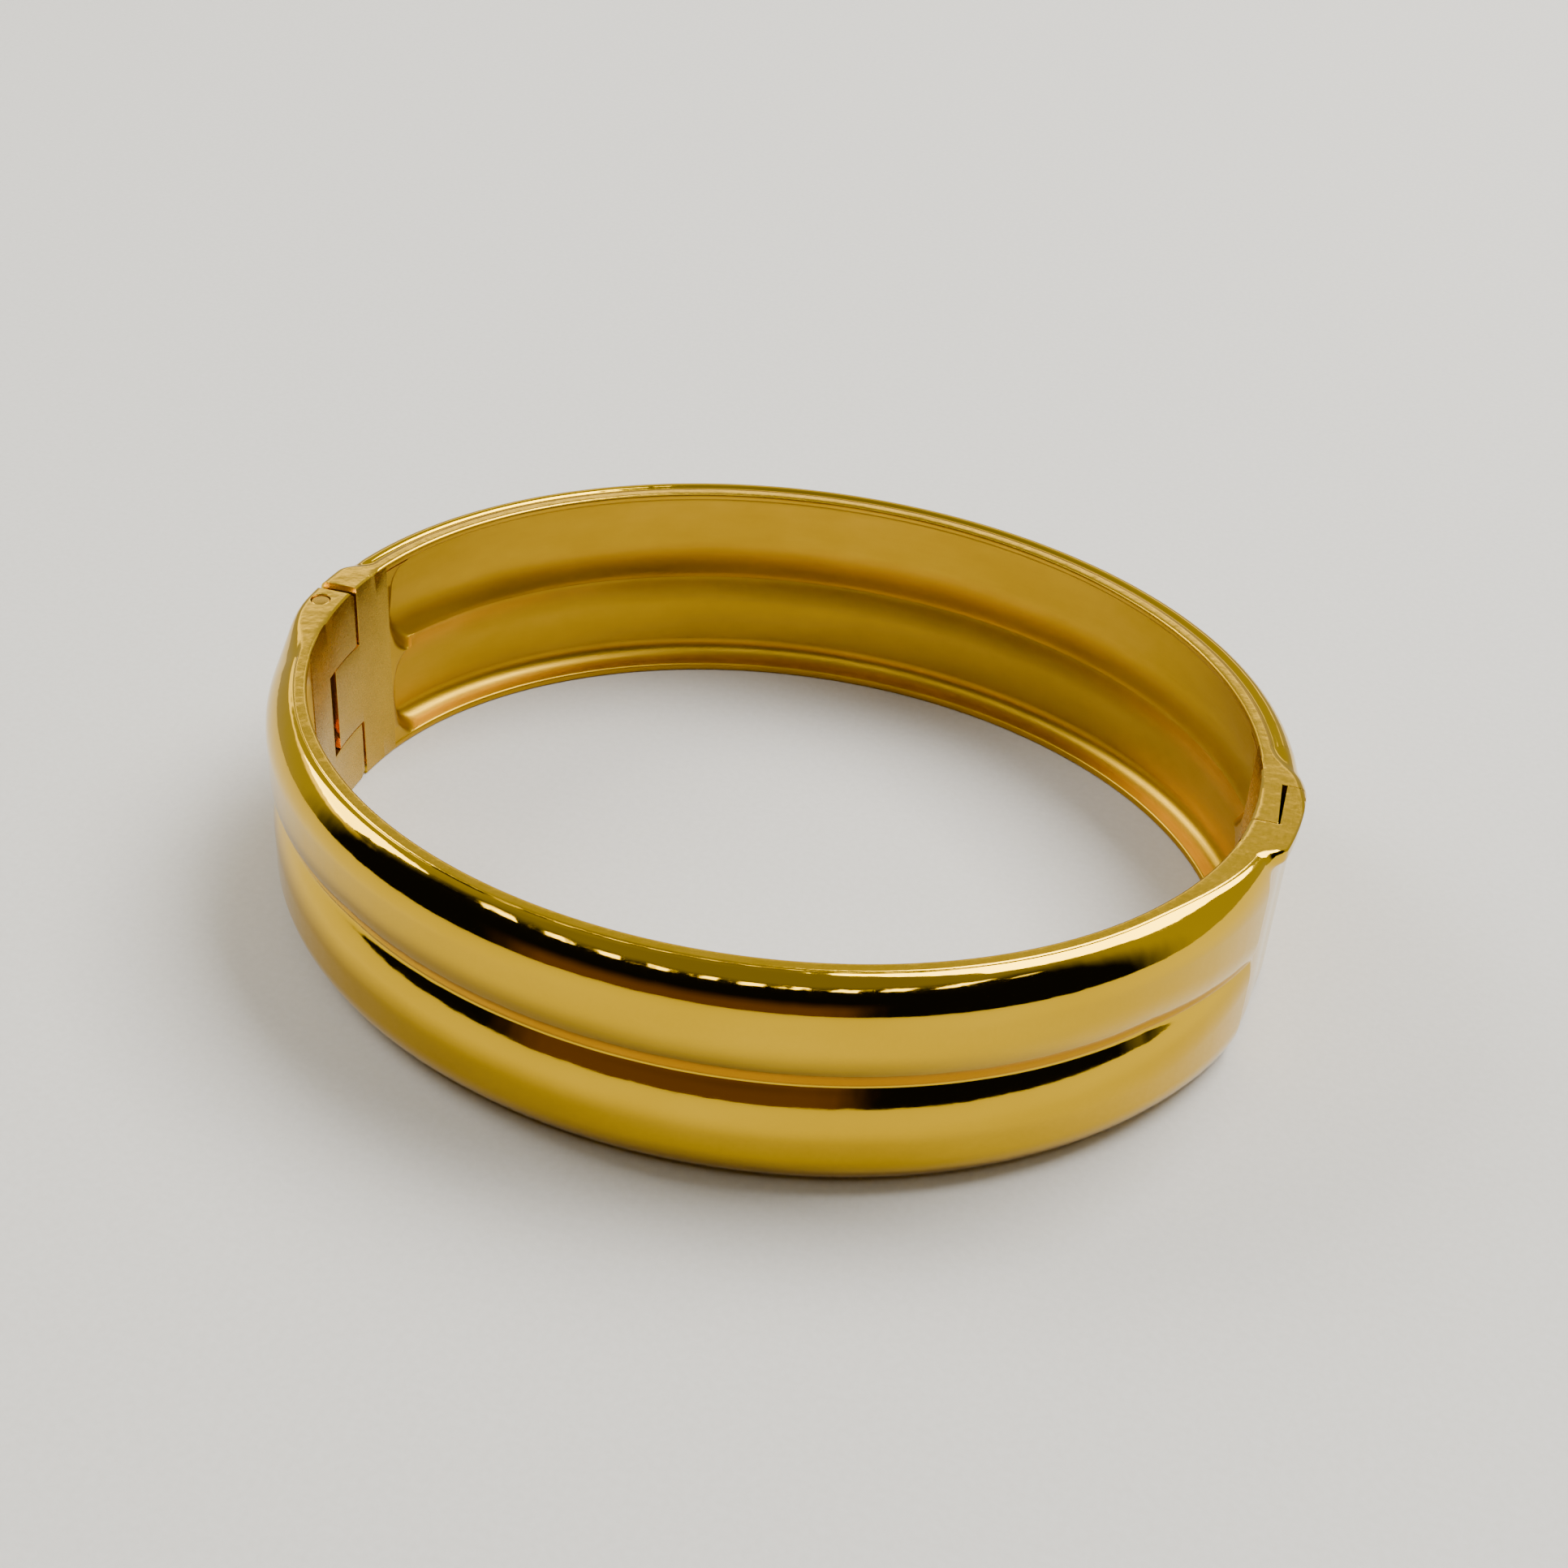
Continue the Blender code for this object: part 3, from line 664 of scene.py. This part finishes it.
def polished_gold():
    """Mirror-polished plating: gentle dents from stamping, hairline scratches, tiny pits."""
    nodes = Nodes("polished_gold_plating")
    dents = nodes.noise(nodes.mapped((0.55, 0.55, 0.25)), 1.5)
    hairlines = nodes.noise(nodes.mapped((0.35, 9.0, 1.0), "UV"), 3.0, 0.6)
    pits = nodes.noise(nodes.mapped((2.4, 2.4, 2.4)), 4.0, 0.7)
    cloudy = nodes.noise(nodes.mapped((0.12, 0.12, 0.3)), 3.0)
    colour = nodes.colours(nodes.ranged(cloudy, 0.0, 1.0), (0.58, 0.357, 0.004), (0.62, 0.387, 0.008))
    worn = nodes.product(hairlines, pits)
    roughness = nodes.ranged(worn, 0.025, 0.1, *WORN)
    normal = nodes.bump(dents, 0.5, 0.05)
    normal = nodes.bump(hairlines, 0.25, 0.003, normal)
    normal = nodes.bump(pits, 0.15, 0.003, normal)
    return nodes.set(colour, roughness, normal)


def rim_gold():
    """Flat faces that were lapped: brushed along their length, a little softer than the ribs."""
    nodes = Nodes("lapped_gold_rim")
    brushed = nodes.noise(nodes.mapped((1.4, 16.0, 1.0), "UV"), 3.0, 0.6)
    grain = nodes.noise(nodes.mapped((7.0, 7.0, 7.0)), 3.0, 0.6)
    cloudy = nodes.noise(nodes.mapped((0.3, 0.3, 0.3)), 3.0)
    dents = nodes.noise(nodes.mapped((1.1, 1.1, 0.6)), 2.0)
    colour = nodes.colours(nodes.ranged(cloudy, 0.0, 1.0), (0.60, 0.37, 0.010), (0.66, 0.41, 0.018))
    roughness = nodes.ranged(nodes.product(brushed, grain), 0.12, 0.26, *WORN)
    normal = nodes.bump(dents, 0.45, 0.05)
    normal = nodes.bump(brushed, 0.15, 0.004, normal)
    normal = nodes.bump(grain, 0.2, 0.004, normal)
    return nodes.set(colour, roughness, normal)


def satin_gold_painted_shade():
    """Inside of the wall: plated but not buffed, so soft; its colour is set a little deeper than the
    outside's, painted shade for the inside of the ring.
    """
    nodes = Nodes("satin_gold_inside_painted_shade")
    drawn = nodes.noise(nodes.mapped((0.25, 6.0, 1.0), "UV"), 4.0, 0.6)
    grain = nodes.noise(nodes.mapped((9.0, 9.0, 9.0)), 3.0, 0.6)
    cloudy = nodes.noise(nodes.mapped((0.18, 0.18, 0.35)), 3.0)
    # painted shade: these colours are darker than the polished outside's, for the shaded inside of the ring
    colour = nodes.colours(nodes.ranged(cloudy, 0.0, 1.0), (0.49, 0.29, 0.010), (0.55, 0.33, 0.016))
    roughness = nodes.ranged(nodes.product(drawn, grain), 0.33, 0.48, *WORN)
    normal = nodes.bump(drawn, 0.3, 0.008)
    normal = nodes.bump(grain, 0.25, 0.005, normal)
    return nodes.set(colour, roughness, normal)


def block_gold():
    """Cast end blocks: filed and lightly polished."""
    nodes = Nodes("cast_gold_block")
    filed = nodes.noise(nodes.mapped((2.0, 2.0, 14.0)), 3.0, 0.6)
    grain = nodes.noise(nodes.mapped((6.0, 6.0, 6.0)), 4.0, 0.6)
    cloudy = nodes.noise(nodes.mapped((0.5, 0.5, 0.4)), 3.0)
    colour = nodes.colours(nodes.ranged(cloudy, 0.0, 1.0), (0.43, 0.265, 0.014), (0.49, 0.305, 0.022))
    roughness = nodes.ranged(nodes.product(filed, grain), 0.2, 0.36, *WORN)
    normal = nodes.bump(filed, 0.12, 0.003)
    normal = nodes.bump(grain, 0.15, 0.003, normal)
    return nodes.set(colour, roughness, normal)


def pin_gold():
    """Turned pin: faint rings on its end and lines round it."""
    nodes = Nodes("turned_gold_pin")
    rings = nodes.noise(nodes.mapped((12.0, 12.0, 3.0)), 2.0)
    wear = nodes.noise(nodes.mapped((2.5, 2.5, 2.5)), 4.0)
    colour = nodes.colours(nodes.ranged(wear, 0.0, 1.0), (0.46, 0.27, 0.02), (0.54, 0.33, 0.03))
    roughness = nodes.ranged(wear, 0.22, 0.38)
    return nodes.set(colour, roughness, nodes.bump(rings, 0.3, 0.006))


def spring_steel():
    """Cold-rolled strip: fine lines along its length, and a little heat tint."""
    nodes = Nodes("rolled_spring_steel")
    rolled = nodes.noise(nodes.mapped((10.0, 22.0, 1.5)), 3.0)
    tint = nodes.noise(nodes.mapped((0.7, 0.7, 0.7)), 3.0)
    colour = nodes.colours(nodes.ranged(tint, 0.0, 1.0), (0.60, 0.58, 0.54), (0.66, 0.62, 0.52))
    roughness = nodes.ranged(rolled, 0.22, 0.4)
    return nodes.set(colour, roughness, nodes.bump(rolled, 0.35, 0.006))


def floor_cloth():
    """Plain pale cloth with a barely visible weave."""
    nodes = Nodes("plain_pale_cloth", metallic=0.0)
    weave = nodes.noise(nodes.mapped((2.2, 2.2, 2.2)), 2.0)
    colour = nodes.colours(nodes.ranged(weave, 0.0, 1.0), (0.645, 0.635, 0.60), (0.685, 0.675, 0.645))
    roughness = nodes.ranged(weave, 0.75, 0.9)
    return nodes.set(colour, roughness, nodes.bump(weave, 0.2, 0.05))


# ---------------------------------------------------------------- pieces


def dress(piece, node, body):
    """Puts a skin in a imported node's place."""
    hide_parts(node)
    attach(piece, body)


def band(name, start, end, finishes):
    """A half oval of the wall between two angles. Its channels run out flat at both ends."""

    def section_at(angle):
        run = min(abs(angle - start), abs(angle - end)) * oval_speed(angle)
        return wall_section(angle, run)

    angles = [mix(start, end, column / BAND_COLUMNS) for column in range(BAND_COLUMNS + 1)]
    count = BAND_END_COLUMNS
    near_start = [mix(angles[0], angles[2], step / count) for step in range(count)]
    near_end = [mix(angles[-3], angles[-1], step / count) for step in range(1, count + 1)]
    return finish_mesh(name, loft(near_start + angles[2:-2] + near_end, section_at), finishes)


def block_angles(y_start, y_end, side):
    """Angles across an end block, from one distance from the long axis to another."""
    count = math.ceil(abs(y_end - y_start) / BLOCK_STEP)
    heights = [mix(y_start, y_end, at / count) for at in range(count + 1)]
    if side > 0:
        return [angle_at(y, side) for y in heights]
    return [math.pi - math.asin(y / HALF_WIDTH) for y in heights]


def end_block(name, y_start, y_end, side, section_at, finishes):
    """An end block before its cuts."""
    return finish_mesh(name, loft(block_angles(y_start, y_end, side), section_at), finishes)


def pin_bore():
    return turned([(-OVER, BORE_RADIUS), (HEIGHT + OVER, BORE_RADIUS)], (PIN_X, PIN_Y, 0.0), "Z")


def ear_end_cutter():
    """Cuts the ears' ends square, with a chamfer at the top and at the bottom."""
    left, right = HINGE_X - FAR, HINGE_X + FAR
    chamfered = EAR_END_Y - EAR_CHAMFER - OVER
    over = EAR_CHAMFER + OVER
    outline = [(chamfered, -OVER), (EAR_END_Y, EAR_CHAMFER), (EAR_END_Y, HEIGHT - EAR_CHAMFER)]
    outline += [(chamfered, HEIGHT + OVER), (FAR, HEIGHT + over), (FAR, -over)]
    return prism(outline, left, right, "X")


def front_hinge_block(finishes):
    made = end_block("front_hinge_ears", HINGE_FRONT_Y, EAR_END_Y + OVER, -1, hinge_section, finishes)
    cut(made, ear_end_cutter())
    low, high = MIDDLE - SLOT_HALF_HEIGHT, MIDDLE + SLOT_HALF_HEIGHT
    cut(made, block((HINGE_X - FAR, SLOT_WALL_Y, low), (HINGE_X + FAR, FAR, high)))
    cut(made, pin_bore())
    round_edges(made, angle_at(HINGE_FRONT_Y, -1))
    return made


def knuckle_cutter():
    """Everything round the knuckle in plan. The knuckle's tip is square inside and rounded outside."""
    tip = KNUCKLE_TIP_Y - PIN_Y
    radius = math.hypot(KNUCKLE_FLAT_END, tip)
    start = math.atan2(tip, KNUCKLE_FLAT_END)
    end = -math.pi + math.acos(-KNUCKLE_OUTER / radius)
    outline = [(HINGE_X + FAR, KNUCKLE_TIP_Y)]
    for step in range(KNUCKLE_STEPS + 1):
        turn = mix(start, end, step / KNUCKLE_STEPS)
        outline.append((PIN_X + radius * math.cos(turn), PIN_Y + radius * math.sin(turn)))
    outline += [(PIN_X + KNUCKLE_OUTER, SHOULDER_Y), (HINGE_X - FAR, SHOULDER_Y)]
    outline += [(HINGE_X - FAR, -FAR), (HINGE_X + FAR, -FAR)]
    return prism(outline, -OVER, HEIGHT + OVER)


def back_hinge_block(finishes):
    """The block and its knuckle in one, the wall's inside running through both."""
    start = KNUCKLE_TIP_Y - OVER / 2
    made = end_block("back_hinge_knuckle", start, HINGE_BACK_Y, -1, hinge_section, finishes)
    half = SLOT_HALF_HEIGHT - KNUCKLE_CLEARANCE
    cut(made, knuckle_cutter())
    for low, high in ((-OVER, MIDDLE - half), (MIDDLE + half, HEIGHT + OVER)):
        cut(made, block((HINGE_X - FAR, -FAR, low), (HINGE_X + FAR, SHOULDER_Y, high)))
    cut(made, pin_bore())
    round_edges(made, angle_at(HINGE_BACK_Y, -1))
    return made


def hinge_pin(finish):
    """A turned pin with a rounded, slightly crowned end."""
    centre_depth, edge_depth = PIN_CROWN
    profile = [(centre_depth, PIN_END_RADIUS)]
    for step in range(PIN_ROUND_STEPS + 1):
        turn = math.pi / 2 * step / PIN_ROUND_STEPS
        depth = edge_depth + PIN_ROUND * (1 - math.cos(turn))
        profile.append((depth, PIN_RADIUS - PIN_ROUND + PIN_ROUND * math.sin(turn)))
    profile += [(HEIGHT - along, radius) for along, radius in reversed(profile)]
    solid = turned(profile, (PIN_X, PIN_Y, 0.0), "Z", PIN_SIDES, OUTER)
    return finish_mesh("turned_hinge_pin", solid, [finish])


def lap_cutter(offsets, front, back, keep_front):
    """Prism over one side of the stepped lap, for the half that gives way there."""
    tip, root = offsets
    step = [(CLASP_X + tip, front), (CLASP_X + root, back)]
    if keep_front:
        outline = [(CLASP_X - FAR, front), *step, (CLASP_X + FAR, back)]
        outline += [(CLASP_X + FAR, FAR), (CLASP_X - FAR, FAR)]
    else:
        outline = [(CLASP_X - FAR, -FAR), (CLASP_X + FAR, -FAR), (CLASP_X + FAR, back)]
        outline += [*step[::-1], (CLASP_X - FAR, front)]
    return prism(outline, -OVER, HEIGHT + OVER)


def dimple():
    """Half a sphere for the catch's bump, with a small flat at its top."""
    profile = []
    for step in range(DIMPLE_STEPS):
        turn = math.pi / 2 * step / DIMPLE_STEPS
        profile.append((DIMPLE_RADIUS * math.sin(turn), DIMPLE_RADIUS * math.cos(turn)))
    profile.append((DIMPLE_RADIUS, DIMPLE_RADIUS * DIMPLE_FLAT))
    return turned(profile, (CLASP_X + CATCH_BASE_OFFSET, CATCH_Y, CATCH_BUMP_Z), "X")


def front_clasp_block(finishes):
    made = end_block("front_clasp_lip", CLASP_FRONT_Y, CLASP_BACK_Y, 1, clasp_section, finishes)
    back = LAP_BACK_Y - LAP_CLEARANCE
    cut(made, lap_cutter(OUTER_LIP_OFFSETS, LAP_FRONT_Y, back, True))
    cut(made, dimple())
    round_edges(made, angle_at(CLASP_FRONT_Y, 1))
    return made


def back_clasp_block(finishes):
    made = end_block("back_clasp_lip", CLASP_FRONT_Y, CLASP_BACK_Y, 1, clasp_section, finishes)
    front = LAP_FRONT_Y + LAP_CLEARANCE
    cut(made, lap_cutter(INNER_LIP_OFFSETS, front, LAP_BACK_Y, False))
    low = (CLASP_X + POCKET_FLOOR, CATCH_Y - POCKET_HALF_WIDTH, POCKET_Z[0])
    high = (CLASP_X + POCKET_REACH, CATCH_Y + POCKET_HALF_WIDTH, POCKET_Z[1])
    cut(made, block(low, high))
    round_edges(made, angle_at(CLASP_BACK_Y, 1))
    return made


# ---------------------------------------------------------------- stage, light, camera


def stage_floor():
    bm = bmesh.new()
    bmesh.ops.create_circle(bm, cap_ends=True, segments=96, radius=FLOOR_RADIUS)
    floor = finish_mesh("pale_floor", bm, [floor_cloth()])


def area_light(name, position, size, power, colour):
    """A soft light that faces the middle of the bangle. Its place and its size are in metres."""
    light = bpy.data.lights.new(name, "AREA")
    light.shape = "RECTANGLE"
    light.size, light.size_y = size
    light.energy = power
    light.color = colour
    made = bpy.data.objects.new(name, light)
    made.location = position
    made.rotation_euler = (-Vector(position)).to_track_quat("-Z", "Y").to_euler()
    bpy.context.scene.collection.objects.link(made)


def studio_world():
    """A studio as seen by direction: dark on the camera's side, pale behind, lamps high in front.

    On the camera's side a dark curtain rises from the floor's horizon, warm brown in its lower
    middle. Above it hangs a row of small lamps, and then the ceiling.
    """
    world = bpy.data.worlds.new("studio")
    bpy.context.scene.world = world
    world.use_nodes = True
    tree = world.node_tree
    background = tree.nodes["Background"]
    place = tree.nodes.new("ShaderNodeTexCoord")
    parts = tree.nodes.new("ShaderNodeSeparateXYZ")
    tree.links.new(place.outputs["Generated"], parts.inputs["Vector"])
    across, along, up = (parts.outputs[name] for name in "XYZ")

    def ranged(value, ends):
        """0 at the first end, 1 at the second."""
        made = tree.nodes.new("ShaderNodeMapRange")
        made.interpolation_type = "SMOOTHSTEP"
        for name, number in zip(("From Min", "From Max"), ends):
            made.inputs[name].default_value = number
        tree.links.new(value, made.inputs["Value"])
        return made.outputs["Result"]

    def maths(operation, one, two=0.0):
        made = tree.nodes.new("ShaderNodeMath")
        made.operation = operation
        for socket, value in zip(made.inputs, (one, two)):
            if isinstance(value, float):
                socket.default_value = value
            else:
                tree.links.new(value, socket)
        return made.outputs["Value"]

    def blend(share, one, two):
        made = tree.nodes.new("ShaderNodeMix")
        made.data_type = "RGBA"
        tree.links.new(share, made.inputs["Factor"])
        for socket, value in ((made.inputs["A"], one), (made.inputs["B"], two)):
            if isinstance(value, tuple):
                socket.default_value = (*value, 1.0)
            else:
                tree.links.new(value, socket)
        return made.outputs["Result"]

    brown = maths("MULTIPLY", ranged(along, BROWN_DEPTH), ranged(across, BROWN_RIGHT))
    brown = maths("MULTIPLY", brown, ranged(across, BROWN_LEFT))
    brown = maths("MULTIPLY", brown, ranged(up, BROWN_TOP))
    curtain = blend(brown, CURTAIN_DARK, CURTAIN_BROWN)
    camera_side = blend(ranged(up, CURTAIN_TOP), curtain, CEILING)
    far_side = blend(ranged(up, ABOVE_PANEL), BACK_PANEL, BACK_WALL)
    far_side = blend(ranged(up, BELOW_PANEL), far_side, BACK_WALL)
    far_side = blend(ranged(across, RIGHT_OF_PANEL), far_side, BACK_WALL)
    far_side = blend(ranged(up, BACK_WALL_TOP), far_side, CEILING)
    colour = blend(ranged(along, BACK_HALF), camera_side, far_side)

    uneven = tree.nodes.new("ShaderNodeTexNoise")
    uneven.noise_dimensions = "1D"
    uneven.inputs["Scale"].default_value = LAMPS * LAMP_GRAIN
    tree.links.new(across, uneven.inputs["W"])
    wave = maths("SINE", maths("MULTIPLY", across, LAMPS * 2 * math.pi))
    lamps = maths("ADD", wave, maths("MULTIPLY", uneven.outputs["Fac"], LAMP_UNEVENNESS))
    row = maths("MULTIPLY", ranged(up, LAMP_FOOT), ranged(up, LAMP_TOP))
    row = maths("MULTIPLY", row, ranged(along, LAMP_DEPTH))
    row = maths("MULTIPLY", row, ranged(lamps, LAMP_GAP))
    colour = blend(row, colour, LAMP)
    tree.links.new(colour, background.inputs["Color"])
    background.inputs["Strength"].default_value = 1.0


def camera():
    """Aimed at a point on the floor from its azimuth and elevation, and rolled about its own axis."""
    turn, lift, roll = (math.radians(value) for value in (AZIMUTH, ELEVATION, ROLL))
    back = Vector((math.sin(turn) * math.cos(lift), -math.cos(turn) * math.cos(lift), math.sin(lift)))
    right = Vector((math.cos(turn), math.sin(turn), 0.0))
    up = back.cross(right)
    across = right * math.cos(roll) + up * math.sin(roll)
    upward = up * math.cos(roll) - right * math.sin(roll)
    data = bpy.data.cameras.new("view")
    data.sensor_width = SENSOR
    data.lens = LENS
    made = bpy.data.objects.new("view", data)
    place = Vector([value * MM for value in AIM]) + back * DISTANCE * MM
    facing = Matrix((across, upward, back)).transposed().to_4x4()
    made.matrix_world = Matrix.Translation(place) @ facing
    bpy.context.scene.collection.objects.link(made)
    bpy.context.scene.camera = made


def main():
    camera()
    stage_floor()
    studio_world()
    area_light("overhead", (0.25, 0.25, 0.6), (0.5, 0.4), 9.0, (1.0, 0.98, 0.95))
    area_light("left_fill", (-0.6, 0.1, 0.5), (0.3, 0.3), 3.0, (1.0, 0.97, 0.93))

    # the satin inside's darker colour is painted shade
    polished, rim, satin_painted_shade = polished_gold(), rim_gold(), satin_gold_painted_shade()
    wall = [polished, rim, satin_painted_shade]
    blocks = [polished, rim, block_gold()]

    hinge_front, hinge_back = angle_at(HINGE_FRONT_Y, -1), angle_at(HINGE_BACK_Y, -1)
    clasp_front, clasp_back = angle_at(CLASP_FRONT_Y, 1), angle_at(CLASP_BACK_Y, 1)
    front = band("front_ribbed_band", hinge_front, clasp_front, wall)
    dress(front, "front_band", "front_half")
    back = band("back_ribbed_band", clasp_back, hinge_back, wall)
    dress(back, "back_band", "back_half")
    dress(front_hinge_block(blocks), "front_hinge_block", "front_half")
    dress(back_hinge_block(blocks), "back_hinge_block", "back_half")
    dress(hinge_pin(pin_gold()), "hinge_pin", "front_half")
    dress(front_clasp_block(blocks), "front_clasp_block", "front_half")
    dress(back_clasp_block(blocks), "back_clasp_block", "back_half")

    steel = spring_steel()
    for name in ("catch_spring", "catch_rivet"):
        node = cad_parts[name]
        node.data.materials.clear()
        node.data.materials.append(steel)


main()
